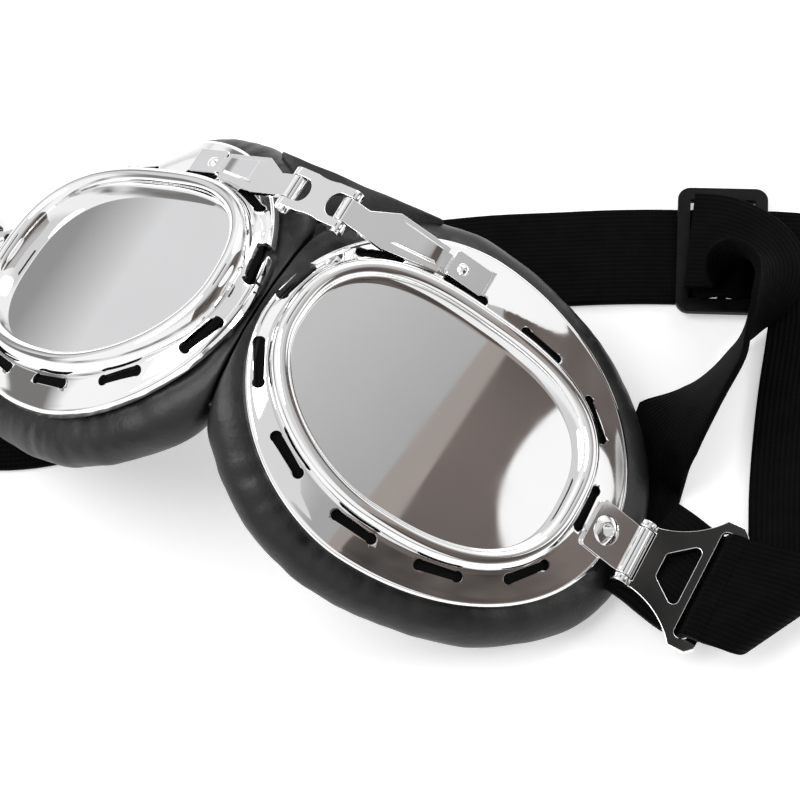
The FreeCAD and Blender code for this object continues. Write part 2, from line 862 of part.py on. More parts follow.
def slider_run():
    """The strap's way under one end of the slider, over its middle bar and under the other end."""
    end = slider_length / 2
    window = end - slider_bar
    half = [(end + slider_bar, strap_low), (window + slider_bar / 2, strap_low), (window, strap_low)]
    half.append((slider_middle_bar / 2 + strap_thickness, strap_over))
    run = [(-along, height) for along, height in half] + [(0, strap_over + strap_crown)] + half[::-1]
    across = math.cos(slider_turn)
    up = math.sin(slider_turn)
    return [(slider_x + along * across, slider_y + along * up, height, -180) for along, height in run]


def from_slider(shares, base):
    """Places measured from the slider, with their height above a base."""
    return [
        (slider_x + x * strap_reach, slider_y + y * strap_reach, base + height * strap_reach, turn)
        for x, y, height, turn in shares
    ]


def from_slot(side, shares):
    """Places measured from the slot of a buckle, with their height above the table."""
    rise = slot_z - strap_low
    return [
        (side * (slot_x + x * strap_reach), clip_forehead + y * strap_reach, strap_low + height * rise, turn)
        for x, y, height, turn in shares
    ]


def slot_rise(side):
    """The strap's way from its hem under a buckle, up through the slot and over the end bar."""
    hem = []
    for back, aside, down in hem_shares:
        x = side * (slot_x - back * hem_length)
        hem.append((x, clip_forehead + aside * hem_skew, under_buckle - down * hem_drop, 0))
    return hem + [
        (side * (slot_x + out * slot_width), clip_forehead, slot_z + up * slot_width, 0)
        for out, up in slot_rise_shares
    ]


def make_strap_main():
    """From the left buckle, under the goggles, through the slider and round to the right buckle."""
    route = slot_rise(-1) + from_slot(-1, left_slot_shares) + from_slider(to_slider_shares, strap_low)
    route += slider_run() + from_slider(from_slider_shares, strap_low) + from_slot(1, right_slot_shares)
    top = slot_z + slot_rise_shares[-1][1] * slot_width
    corner = Vector(slot_x + roll_corner_x, clip_forehead - strap_width / 2, top)
    roll = rolled_turn(corner, roll_heading_angle, roll_axis_angle, roll_radius)
    rise = stations_along(slot_rise(1))
    home = [(right, left) for left, right in (rise + roll)[::-1]]
    return band(stations_along(route) + home)


def make_strap_return():
    """From the slider's middle bar, twisted on edge and over, to its end under the right roll."""
    route = from_slider(return_slider_shares, strap_over) + from_slot(1, return_slot_shares)
    return band(stations_along(route))


def make_slider():
    body = round_plate(
        Vector(-slider_length / 2, -slider_width / 2, 0),
        Vector(slider_length / 2, slider_width / 2, slider_sheet),
        slider_corner,
    )
    half = strap_width / 2 + slider_side_gap
    for side in (-1, 1):
        near = slider_middle_bar / 2
        far = slider_length / 2 - slider_bar
        ends = sorted((side * near, side * far))
        body = body.cut(block(Vector(ends[0], -half, -cut_overrun), Vector(ends[1], half, cut_overrun)))
    body.Placement = Placement(Vector(slider_x, slider_y, slider_under), Rotation(FLAT, slider_angle))
    return body


os.makedirs("parts", exist_ok=True)
pieces = {}
eye_makers = {
    "frame": make_frame,
    "lens_rim": make_lens_rim,
    "lens": make_lens,
    "lens_seal": make_lens_seal,
    "bridge_plate": make_bridge_plate,
    "anchor_tab": make_anchor_tab,
    "bridge_rivet": make_bridge_rivet,
    "hinge_pin": make_hinge_pin,
    "side_clip": make_side_clip,
    "side_rivet": make_side_rivet,
    "cushion_cover": make_cushion_cover,
    "cushion_foam": make_cushion_foam,
}
for name, maker in eye_makers.items():
    piece = maker()
    piece.Placement = eye_place.multiply(piece.Placement)
    if name.startswith("cushion"):
        piece = trim_cushion(piece)
    pieces[name + "_right"] = piece
pieces["strap_buckle_right"] = make_buckle()
for name in list(pieces):
    pieces[name.replace("_right", "_left")] = mirrored(pieces[name])
pieces["bridge_link"] = make_bridge_link()
pieces["nose_gusset"] = make_nose_gusset()
pieces["strap_slider"] = make_slider()
pieces["strap_main"] = make_strap_main()
pieces["strap_return"] = make_strap_return()

for name, piece in pieces.items():
    print(name, piece.ShapeType, len(piece.Solids), piece.isValid(), round(piece.Volume, 1))
    piece.exportStep("parts/" + name + ".step")
print("eye height", round(eye_height, 2), "pin", pin_place, "bar", bar_place)
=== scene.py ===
import json
import math
import bpy
from mathutils import Matrix, Vector, noise


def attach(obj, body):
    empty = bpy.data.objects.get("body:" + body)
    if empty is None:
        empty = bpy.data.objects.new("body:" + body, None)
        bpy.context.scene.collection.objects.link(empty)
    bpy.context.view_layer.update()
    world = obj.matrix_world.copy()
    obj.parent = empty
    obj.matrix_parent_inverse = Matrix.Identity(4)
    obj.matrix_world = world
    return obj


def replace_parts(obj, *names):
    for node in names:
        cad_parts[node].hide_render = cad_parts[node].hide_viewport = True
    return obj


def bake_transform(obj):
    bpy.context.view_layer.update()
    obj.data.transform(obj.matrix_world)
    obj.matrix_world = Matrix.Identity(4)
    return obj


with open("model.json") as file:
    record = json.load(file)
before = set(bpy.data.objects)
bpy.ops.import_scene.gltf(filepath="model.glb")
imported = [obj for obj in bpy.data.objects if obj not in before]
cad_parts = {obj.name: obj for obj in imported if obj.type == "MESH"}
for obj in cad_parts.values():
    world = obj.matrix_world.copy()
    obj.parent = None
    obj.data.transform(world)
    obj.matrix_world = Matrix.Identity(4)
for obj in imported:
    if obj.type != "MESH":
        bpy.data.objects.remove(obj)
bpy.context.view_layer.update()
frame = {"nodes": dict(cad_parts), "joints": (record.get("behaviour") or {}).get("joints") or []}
joints = {joint["name"]: joint for joint in frame["joints"]}

# Sizes in metres. The main ones are the construction's. Rounded edges, vent ends, linings, leather folds
# and the nose saddle are this scene's own. Each eye has its own frame: u away from the nose, v to the
# forehead, w out of the lens, with its centre at the crest of the lens rim. An oval is its reach to the
# temple, forehead, nose and cheek, and how square each quarter of it is.
eye_spacing = 0.0804
eye_height = 0.04302
wrap = math.radians(28)
lens_shape = (0.0346, 0.0223, 0.0318, 0.0226, (2.85, 2.65, 1.85, 2.4))
flange_shape = (0.0496, 0.0395, 0.0396, 0.0353, (2.05, 1.9, 1.85, 2.0))
rim_width = 0.0047
rim_height = 0.0042
rim_round_share = 2.5
crease = 0.005
foot = -rim_height
flange_drop = 0.0017
flange_crown = 0.0001
frame_wall = 0.001
edge_roll = 0.0012
edge_lip = 0.0015
seat_wall = 0.003
ledge_back = -0.0074
ledge_inner = 0.0006
flange_edge = foot - flange_drop
lip_end = flange_edge - edge_roll - edge_lip

vent_count = 11
vent_length = 0.011
vent_end_radius = 0.00118
vent_end_turn = math.radians(128)
vent_from_crease = 0.0011
vent_first = math.radians(4.5)
lining_gap = 0.0001
lining_thickness = 0.0005
lining_share = 0.6
cutter_depth = 0.02
middle_slack = 1e-7
rim_steps = 28
flange_steps = 8
edge_steps = 5
chrome_around = 264
lining_around = 176

frame_edge_round = 0.00014
frame_edge_angle = math.radians(50)
small_edge_rounds = {
    "bridge_plate": 0.00022, "anchor_tab": 0.00018, "bridge_rivet": 0.0001, "hinge_pin": 0.0002,
    "side_clip": 0.0002, "side_rivet": 0.00015,
}
buckle_edge_round = 0.00042
link_edge_round = 0.00022
slider_edge_round = 0.0006
small_edge_angle = math.radians(40)
seat_edge_round = 0.0002
seat_top = -0.00375
seat_outline = (
    (-0.0224, 0.0252), (-0.0126, 0.0282), (-0.0016, 0.0292), (-0.0016, 0.0355), (-0.0126, 0.0327),
    (-0.0224, 0.0291),
)
same_point = 2e-6
same_plane = math.radians(2)

cushion_reach = 0.0063
cushion_inset = 0.0084
cushion_depth = 0.015
cushion_front = -0.0077
temple_swell = 0.003
roll_outline_shares = (
    (0.46, 0.00), (0.50, 0.10), (0.70, 0.15), (0.88, 0.26), (0.99, 0.43), (1.00, 0.62), (0.90, 0.83),
    (0.70, 0.97), (0.44, 1.00), (0.20, 0.90), (0.05, 0.68), (0.00, 0.40), (0.03, 0.12), (0.06, 0.01),
)
roll_steps = 3
roll_last_steps = 2
leather_around = 288
pucker_height = 0.00035
pucker_turns = 14
pucker_seed = 3.1
pucker_base_share = 0.35
pucker_depth_share = 0.5
fold_height = 0.00042
fold_turns = 5
fold_seed = 7.7
folds_per_metre = 160
nose_crease = 0.0003
nose_soft = 0.0025
table_gap = 0.0002
table_soft = 0.0008
saddle_low = -0.021
saddle_high = 0.0384
saddle_half_nose = 0.003
saddle_half_brow = 0.021
saddle_top_nose = 0.0475
saddle_top_brow = 0.0485
saddle_thickness = 0.006
saddle_droop = 0.0085
saddle_brow_spread = 0.004
saddle_overlap = 0.14
saddle_cuts = 15
saddle_folds_across = 3
saddle_folds_up = 9
saddle_seed = 0.7
saddle_side_share = 0.55
saddle_end_share = 0.5

strap_width = 0.025
strap_thickness = 0.0014
strap_reach = 0.1
strap_lift = 0.00015
strap_low = strap_lift + strap_thickness / 2
strap_steps = 6
strap_across = 10
slot_width = 0.0032
slot_from_bar = 0.0166
strap_edge_round = 0.00035
roll_radius = 0.005
roll_corner_x = 0.005
roll_heading = math.radians(10)
roll_axis = math.radians(62)
roll_turn_steps = 16
slider_place = Vector((0.07, 0.081, 0))
slider_turn = math.radians(24)
slider_length = 0.021
slider_bar = 0.003
slider_middle_bar = 0.002
slider_top = 0.00385
soft_gap = 0.0003
strap_crown = 0.00035


# Working steps shared by the pieces


def deselect():
    if bpy.context.object and bpy.context.object.mode != "OBJECT":
        bpy.ops.object.mode_set(mode="OBJECT")
    bpy.ops.object.select_all(action="DESELECT")


def choose(piece):
    deselect()
    piece.select_set(True)
    bpy.context.view_layer.objects.active = piece


def new_piece(name):
    """Name the primitive that was just added."""
    piece = bpy.context.object
    piece.name = name
    piece.data.name = name
    return piece


def face_outwards(piece):
    choose(piece)
    bpy.ops.object.mode_set(mode="EDIT")
    bpy.ops.mesh.select_all(action="SELECT")
    bpy.ops.mesh.normals_make_consistent(inside=False)
    bpy.ops.object.mode_set(mode="OBJECT")


def apply_modifier(piece, kind, **settings):
    choose(piece)
    modifier = piece.modifiers.new(kind.lower(), kind)
    for key, value in settings.items():
        setattr(modifier, key, value)
    bpy.ops.object.modifier_apply(modifier=modifier.name)


def round_edges(piece, width, segments=3, angle=small_edge_angle):
    apply_modifier(piece, "BEVEL", width=width, segments=segments, limit_method="ANGLE", angle_limit=angle)


def smooth(piece, degrees=35):
    choose(piece)
    bpy.ops.object.shade_smooth_by_angle(angle=math.radians(degrees))


def keep_flats_flat(piece):
    """Let wide faces lead the shading, so that rounded edges don't bend their mirror image."""
    apply_modifier(piece, "WEIGHTED_NORMAL", mode="FACE_AREA", weight=100, keep_sharp=True)


def finish_piece(piece, body, material, nodes=()):
    piece.data.materials.clear()
    piece.data.materials.append(material)
    if body:
        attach(piece, body)
    if nodes:
        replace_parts(piece, *nodes)
    return piece


# Ovals of the eyes


def polar(shape, angle):
    """Point of a four-cornered oval at an angle about its centre."""
    outer, top, nose, bottom, corners = shape
    across = math.cos(angle)
    up = math.sin(angle)
    reach = outer if across >= 0 else nose
    rise = top if up >= 0 else bottom
    power = corners[int((angle % (2 * math.pi)) // (math.pi / 2)) % 4]
    size = (abs(across) / reach) ** power + (abs(up) / rise) ** power
    radius = size ** (-1 / power)
    return Vector((radius * across, radius * up, 0))


def outward(shape, angle):
    step = math.radians(0.5)
    along = polar(shape, angle + step) - polar(shape, angle - step)
    return Vector((along.y, -along.x, 0)).normalized()


def row(shape, offset, depth):
    """A line round the eye, at a distance outside an oval."""
    return lambda angle: polar(shape, angle) + outward(shape, angle) * offset + Vector((0, 0, depth))


def between(first, second, share, rise=0):
    """A line part of the way from one line to another, lifted a little."""
    return lambda angle: first(angle).lerp(second(angle), share) + Vector((0, 0, rise))


def eye_matrix(side):
    """From the eye's own frame to the goggles' frame. The left eye is the mirror of the right."""
    turn = Matrix.Rotation(wrap, 4, "Y")
    place = Matrix.Translation((eye_spacing / 2, 0, eye_height)) @ turn
    return Matrix.Scale(side, 4, (1, 0, 0)) @ place


def ring_piece(name, section, around):
    """Closed ring shaped from a torus: its minor circle takes the section's lines in turn."""
    deselect()
    count = len(section)
    bpy.ops.mesh.primitive_torus_add(
        major_segments=around, minor_segments=count, major_radius=2, minor_radius=1)
    piece = new_piece(name)
    for vertex in piece.data.vertices:
        x, y, z = vertex.co
        turn = math.atan2(z, math.hypot(x, y) - 2) / (2 * math.pi)
        vertex.co = section[round(turn * count) % count](math.atan2(y, x))
    return piece


def lay_on_eye(piece, side):
    piece.data.transform(eye_matrix(side))
    face_outwards(piece)
    return piece


# Materials. Tones and roughness run from the first value to the second with a texture, a scale is the
# texture's, and a bump is its strength and its height in metres.

chrome_tones = ((0.93, 0.93, 0.935), (0.89, 0.885, 0.885))
chrome_roughness = (0.02, 0.06)
smear_scale = 45
rub_scale = 420
rub_bump = (0.05, 0.00005)
lens_tones = (0.95, 0.93)
lens_roughness = (0.01, 0.04)
smudge_scale = 70
leather_tones = (0.005, 0.011)
leather_roughness = (0.34, 0.5)
leather_gloss = 0.42
patch_scale = 90
pebble_scale = 1150
pebble_bump = (0.3, 0.00012)
wrinkle_scale = 330
wrinkle_bump = (0.35, 0.0004)
elastic_tones = (0.0015, 0.0032)
elastic_roughness = (0.62, 0.85)
elastic_gloss = 0.035
rib_scale = 270
rib_bump = (0.35, 0.0003)
knit_scale = 330
knit_bump = (0.3, 0.00012)
lint_scale = 160
moulded_bump = (0.15, 0.00008)


def new_material(name):
    material = bpy.data.materials.new(name)
    material.use_nodes = True
    tree = material.node_tree
    return material, tree, tree.nodes["Principled BSDF"]


def node(tree, kind, **settings):
    made = tree.nodes.new(kind)
    for key, value in settings.items():
        if key in made.inputs:
            made.inputs[key].default_value = value
        else:
            setattr(made, key, value)
    return made


def spread(tree, source, low, high, start=0.3, end=0.7):
    """Map a texture's middle values to a range."""
    made = tree.nodes.new("ShaderNodeMapRange")
    made.inputs["From Min"].default_value = start
    made.inputs["From Max"].default_value = end
    made.inputs["To Min"].default_value = low
    made.inputs["To Max"].default_value = high
    tree.links.new(source, made.inputs["Value"])
    return made.outputs["Result"]


def grey(level):
    return (level, level, level)


def tint(tree, source, first, second):
    made = tree.nodes.new("ShaderNodeMix")
    made.data_type = "RGBA"
    made.inputs["A"].default_value = (*first, 1)
    made.inputs["B"].default_value = (*second, 1)
    tree.links.new(source, made.inputs["Factor"])
    return made.outputs["Result"]


def grain(tree, kind, place, scale, **settings):
    made = node(tree, kind, **settings)
    made.inputs["Scale"].default_value = scale
    tree.links.new(place, made.inputs["Vector"])
    return made


def bump(tree, shader, height, size, under=None):
    made = tree.nodes.new("ShaderNodeBump")
    made.inputs["Strength"].default_value, made.inputs["Distance"].default_value = size
    tree.links.new(height, made.inputs["Height"])
    if under:
        tree.links.new(under, made.inputs["Normal"])
    tree.links.new(made.outputs["Normal"], shader.inputs["Normal"])
    return made.outputs["Normal"]


def object_place(tree):
    return tree.nodes.new("ShaderNodeTexCoord").outputs["Object"]


def make_chrome():
    """Bright plate with faint smears and fine rubbing marks."""
    material, tree, shader = new_material("bright_chrome")
    shader.inputs["Metallic"].default_value = 1
    place = object_place(tree)
    smear = grain(tree, "ShaderNodeTexNoise", place, smear_scale, Detail=5)
    shade = tint(tree, spread(tree, smear.outputs[0], 0, 1), *chrome_tones)
    tree.links.new(shade, shader.inputs["Base Color"])
    tree.links.new(spread(tree, smear.outputs[0], *chrome_roughness), shader.inputs["Roughness"])
    rub = grain(tree, "ShaderNodeTexNoise", place, rub_scale, Detail=6)
    bump(tree, shader, rub.outputs[0], rub_bump)
    return material


def make_lens_mirror():
    """Smooth grey mirror with a few dull smudges."""
    material, tree, shader = new_material("grey_mirror_lens")
    shader.inputs["Metallic"].default_value = 1
    place = object_place(tree)
    smudge = grain(tree, "ShaderNodeTexNoise", place, smudge_scale, Detail=3)
    shade = tint(tree, spread(tree, smudge.outputs[0], 0, 1), *map(grey, lens_tones))
    tree.links.new(shade, shader.inputs["Base Color"])
    tree.links.new(spread(tree, smudge.outputs[0], *lens_roughness), shader.inputs["Roughness"])
    return material


def make_leather():
    """Soft black leather: pebbled grain, fine creases and patches of sheen."""
    material, tree, shader = new_material("black_leather")
    place = object_place(tree)
    patch = grain(tree, "ShaderNodeTexNoise", place, patch_scale, Detail=4)
    shade = tint(tree, spread(tree, patch.outputs[0], 0, 1), *map(grey, leather_tones))
    tree.links.new(shade, shader.inputs["Base Color"])
    tree.links.new(spread(tree, patch.outputs[0], *leather_roughness), shader.inputs["Roughness"])
    shader.inputs["Specular IOR Level"].default_value = leather_gloss
    pebble = grain(tree, "ShaderNodeTexVoronoi", place, pebble_scale, feature="SMOOTH_F1")
    wrinkles = grain(tree, "ShaderNodeTexNoise", place, wrinkle_scale, Detail=5, Distortion=0.6)
    first = bump(tree, shader, wrinkles.outputs[0], wrinkle_bump)
    bump(tree, shader, pebble.outputs["Distance"], pebble_bump, first)
    return material


def make_elastic():
    """Ribbed black elastic. The ribs follow the strap by its own map, in metres."""
    material, tree, shader = new_material("black_elastic")
    place = tree.nodes.new("ShaderNodeTexCoord").outputs["UV"]
    ribs = grain(tree, "ShaderNodeTexWave", place, rib_scale, wave_type="BANDS", bands_direction="X")
    knit = grain(tree, "ShaderNodeTexWave", place, knit_scale, wave_type="BANDS", bands_direction="Y")
    lint = grain(tree, "ShaderNodeTexNoise", place, lint_scale, Detail=6)
    shade = tint(tree, spread(tree, lint.outputs[0], 0, 1), *map(grey, elastic_tones))
    tree.links.new(shade, shader.inputs["Base Color"])
    tree.links.new(spread(tree, ribs.outputs["Fac"], *elastic_roughness, 0, 1), shader.inputs["Roughness"])
    shader.inputs["Specular IOR Level"].default_value = elastic_gloss
    first = bump(tree, shader, ribs.outputs["Fac"], rib_bump)
    bump(tree, shader, knit.outputs["Fac"], knit_bump, first)
    return material


def make_black(name, dark, light, smoothest, roughest, scale, gloss):
    """Moulded black plastic or rubber with a fine grain."""
    material, tree, shader = new_material(name)
    place = object_place(tree)
    fine = grain(tree, "ShaderNodeTexNoise", place, scale, Detail=4)
    shader.inputs["Specular IOR Level"].default_value = gloss
    tree.links.new(tint(tree, fine.outputs[0], grey(dark), grey(light)), shader.inputs["Base Color"])
    tree.links.new(spread(tree, fine.outputs[0], smoothest, roughest), shader.inputs["Roughness"])
    bump(tree, shader, fine.outputs[0], moulded_bump)
    return material


chrome = make_chrome()
lens_mirror = make_lens_mirror()
leather = make_leather()
elastic = make_elastic()
slider_plastic = make_black(
    "glossy_black_plastic", dark=0.002, light=0.004, smoothest=0.22, roughest=0.38, scale=240, gloss=0.12)
vent_felt = make_black("black_felt", dark=0.002, light=0.004, smoothest=0.9, roughest=1, scale=900, gloss=0.1)
seal_rubber = make_black(
    "matt_black_rubber", dark=0.008, light=0.02, smoothest=0.6, roughest=0.8, scale=500, gloss=0.3)


# Chrome of the eyes


def rim_section():
    """Lines over the raised round rim, from its inner foot to its outer foot."""
    power = 2 / rim_round_share
    lines = []
    for i in range(rim_steps + 1):
        turn = math.pi * i / rim_steps
        across = math.copysign(abs(math.cos(turn)) ** power, math.cos(turn))
        rise = max(0, math.sin(turn)) ** power
        lines.append(row(lens_shape, rim_width / 2 * (1 - across), foot + rim_height * rise))
    return lines


def make_rim(side, tail):
    piece = ring_piece("lens_rim_" + tail, rim_section(), chrome_around)
    lay_on_eye(piece, side)
    smooth(piece, degrees=60)
    return finish_piece(piece, "eye_" + tail, chrome, ["lens_rim_" + tail])


def frame_section():
    """Lines of the pressed frame: crease, sloping flange, rolled edge, lip, underside and lens seat."""
    crease_line = row(lens_shape, crease, foot)
    edge_line = row(flange_shape, -edge_roll, flange_edge)
    under_crease = row(lens_shape, crease, foot - frame_wall)
    under_edge = row(flange_shape, -edge_roll, flange_edge - frame_wall)
    lines = [row(lens_shape, seat_wall, foot), row(lens_shape, (seat_wall + crease) / 2, foot), crease_line]
    for i in range(1, flange_steps):
        share = i / flange_steps
        lines.append(between(crease_line, edge_line, share, flange_crown * math.sin(math.pi * share)))
    for i in range(edge_steps + 1):
        turn = math.pi / 2 * i / edge_steps
        back, drop = edge_roll * (math.sin(turn) - 1), edge_roll * (1 - math.cos(turn))
        lines.append(row(flange_shape, back, flange_edge - drop))
    lines += [
        row(flange_shape, 0, lip_end),
        row(flange_shape, -frame_wall / 2, lip_end - frame_wall / 4),
        row(flange_shape, -frame_wall, lip_end),
        row(flange_shape, -frame_wall, flange_edge - edge_roll),
        under_edge,
        between(under_edge, under_crease, 0.5),
        under_crease,
        row(lens_shape, seat_wall + frame_wall, foot - frame_wall),
        row(lens_shape, seat_wall + frame_wall, ledge_back),
        row(lens_shape, ledge_inner, ledge_back),
        row(lens_shape, ledge_inner, ledge_back + frame_wall),
        row(lens_shape, seat_wall, ledge_back + frame_wall),
    ]
    return lines


def vent_angles():
    """Angles that space the vents evenly along the crease."""
    steps = 720
    line = row(lens_shape, crease + vent_from_crease, 0)
    angles = [vent_first + 2 * math.pi * i / steps for i in range(steps + 1)]
    points = [line(angle) for angle in angles]
    lengths = [0]
    for a, b in zip(points, points[1:]):
        lengths.append(lengths[-1] + (b - a).length)
    wanted = [lengths[-1] * i / vent_count for i in range(vent_count)]
    return [angles[min(range(steps), key=lambda k: abs(lengths[k] - w))] for w in wanted]


def vent_cutters():
    """One long slot with fuller round ends, copied to every vent's place."""
    deselect()
    bpy.ops.mesh.primitive_cylinder_add(vertices=36, radius=1, depth=cutter_depth)
    slot = new_piece("vent_slot")
    half = vent_length / 2 - vent_end_radius
    for vertex in slot.data.vertices:
        end = 1 if vertex.co.x >= -middle_slack else -1
        turn = math.atan2(vertex.co.y, abs(vertex.co.x)) / (math.pi / 2) * vent_end_turn
        vertex.co.x = end * (half + vent_end_radius * math.cos(turn))
        vertex.co.y = vent_end_radius * math.sin(turn)
    line = row(lens_shape, crease + vent_from_crease, foot)
    copies = []
    for angle in vent_angles():
        out = outward(lens_shape, angle)
        turn = math.atan2(out.y, out.x) + math.pi / 2
        copy = slot.copy()
        copy.data = slot.data.copy()
        copy.data.transform(Matrix.Translation(line(angle)) @ Matrix.Rotation(turn, 4, "Z"))
        bpy.context.scene.collection.objects.link(copy)
        copies.append(copy)
    choose(copies[0])
    for copy in copies:
        copy.select_set(True)
    bpy.ops.object.join()
    bpy.data.objects.remove(slot)
    return bpy.context.object


def make_frame(side, tail):
    piece = ring_piece("frame_" + tail, frame_section(), chrome_around)
    face_outwards(piece)
    cutters = vent_cutters()
    apply_modifier(piece, "BOOLEAN", operation="DIFFERENCE", object=cutters, solver="EXACT")
    bpy.data.objects.remove(cutters)
    round_edges(piece, frame_edge_round, 2, frame_edge_angle)
    lay_on_eye(piece, side)
    smooth(piece, degrees=32)
    keep_flats_flat(piece)
    return finish_piece(piece, "eye_" + tail, chrome, ["frame_" + tail])


def make_vent_lining(side, tail):
    """Black felt ring under the flange, seen through the vents."""
    low = foot - frame_wall
    inner = seat_wall + frame_wall + lining_gap
    under_crease = row(lens_shape, crease, low)
    under_edge = row(flange_shape, -edge_roll, flange_edge - frame_wall)
    section = [
        row(lens_shape, inner, low - lining_gap),
        row(lens_shape, crease, low - lining_gap),
        between(under_crease, under_edge, lining_share, -lining_gap),
        between(under_crease, under_edge, lining_share, -lining_gap - lining_thickness),
        row(lens_shape, crease, low - lining_gap - lining_thickness),
        row(lens_shape, inner, low - lining_gap - lining_thickness),
    ]
    piece = ring_piece("vent_lining_" + tail, section, lining_around)
    lay_on_eye(piece, side)
    smooth(piece, degrees=40)
    return finish_piece(piece, "eye_" + tail, vent_felt)


# Small metal and plastic pieces, rounded at their edges


def dressed(name, cad_node, body, material, edge_round):
    """A copy of a rigid piece with its flat faces joined and its edges rounded."""
    piece = frame["nodes"][cad_node].copy()
    piece.data = piece.data.copy()
    piece.parent = None
    for key in list(piece.keys()):
        del piece[key]
    bpy.context.scene.collection.objects.link(piece)
    choose(piece)
    piece.name = name
    piece.data.name = name
    bpy.ops.object.mode_set(mode="EDIT")
    bpy.ops.mesh.select_all(action="SELECT")
    bpy.ops.mesh.remove_doubles(threshold=same_point)
    bpy.ops.mesh.dissolve_limited(angle_limit=same_plane)
    bpy.ops.object.mode_set(mode="OBJECT")
    round_edges(piece, edge_round)
    smooth(piece, degrees=40)
    keep_flats_flat(piece)
    return finish_piece(piece, body, material, [cad_node])


def make_hardware():
    for tail in ("right", "left"):
        eye = "eye_" + tail
        for kind, edge_round in small_edge_rounds.items():
            dressed(kind + "_chrome_" + tail, kind + "_" + tail, eye, chrome, edge_round)
        buckle = "buckle_" + tail
        dressed("buckle_chrome_" + tail, "strap_" + buckle, buckle, chrome, buckle_edge_round)
    dressed("bridge_link_chrome", "bridge_link", "bridge", chrome, link_edge_round)
    dressed("slider_moulded", "strap_slider", "slider", slider_plastic, slider_edge_round)


def make_bridge_seats():
    """The raised pad of each frame under its bridge plate and anchor tab."""
    low = flange_edge - frame_wall / 2
    for side, tail in ((1, "right"), (-1, "left")):
        deselect()
        bpy.ops.mesh.primitive_circle_add(vertices=len(seat_outline), radius=1, fill_type="NGON")
        piece = new_piece("bridge_seat_" + tail)
        for vertex, (u, v) in zip(piece.data.vertices, seat_outline):
            vertex.co = (u, v, low)
        choose(piece)
        bpy.ops.object.mode_set(mode="EDIT")
        bpy.ops.mesh.select_all(action="SELECT")
        bpy.ops.mesh.extrude_region_move(TRANSFORM_OT_translate={"value": (0, 0, seat_top - low)})
        bpy.ops.object.mode_set(mode="OBJECT")
        face_outwards(piece)
        round_edges(piece, seat_edge_round)
        lay_on_eye(piece, side)
        smooth(piece)
        keep_flats_flat(piece)
        finish_piece(piece, "eye_" + tail, chrome)


# Padded leather


def softly_above(value, floor, soft):
    """Keep a value above a floor, rounding off where it meets it."""
    over = value - floor
    if over >= soft:
        return value
    if over <= -soft:
        return floor
    return floor + (over + soft) ** 2 / (4 * soft)


def roll_lines():
    """Lines of the padded roll, rounded between the points of its outline."""
    points = [Vector((a, d, 0)) for a, d in roll_outline_shares]
    count = len(points)
    lines = []
    for i in range(count):
        before, here, after, later = (points[(i + k) % count] for k in (-1, 0, 1, 2))
        steps = roll_steps if i < count - 1 else roll_last_steps
        for step in range(steps):
            t = step / steps
            bend = 2 * before - 5 * here + 4 * after - later
            twist = 3 * here - before - 3 * after + later
            place = 0.5 * (2 * here + (after - before) * t + bend * t * t + twist * t ** 3)
            across = place.x * (cushion_reach + cushion_inset) - cushion_inset
            swell = max(0, 2 * place.x - 1) * temple_swell
            oval = (flange_shape[0] + swell, *flange_shape[1:])
            lines.append(row(oval, across, cushion_front - place.y * cushion_depth))
    return lines


def make_cushion(side, tail):
    """Leather roll with puckers from its gathered edge and soft creases along its side."""
    piece = ring_piece("leather_cushion_" + tail, roll_lines(), leather_around)
    face_outwards(piece)
    for vertex in piece.data.vertices:
        u, v, w = vertex.co
        angle = math.atan2(v, u)
        around = Vector((math.cos(angle), math.sin(angle), 0))
        near_edge = max(0, 1 - abs(w - cushion_front) / (pucker_depth_share * cushion_depth))
        gather = noise.noise(around * pucker_turns + Vector((0, 0, side * pucker_seed)))
        fold = noise.noise(around * fold_turns + Vector((0, 0, w * folds_per_metre + side * fold_seed)))
        lift = pucker_height * gather * (pucker_base_share + near_edge) + fold_height * fold
        vertex.co += vertex.normal * lift
    piece.data.transform(eye_matrix(side))
    for vertex in piece.data.vertices:
        vertex.co.x = side * softly_above(side * vertex.co.x, nose_crease, nose_soft)
        vertex.co.z = softly_above(vertex.co.z, table_gap, table_soft)
    face_outwards(piece)
    apply_modifier(piece, "SUBSURF", levels=1, render_levels=1)
    smooth(piece, degrees=180)
    finish_piece(piece, None, leather, ["cushion_cover_" + tail, "cushion_foam_" + tail])
    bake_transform(piece)
    return piece


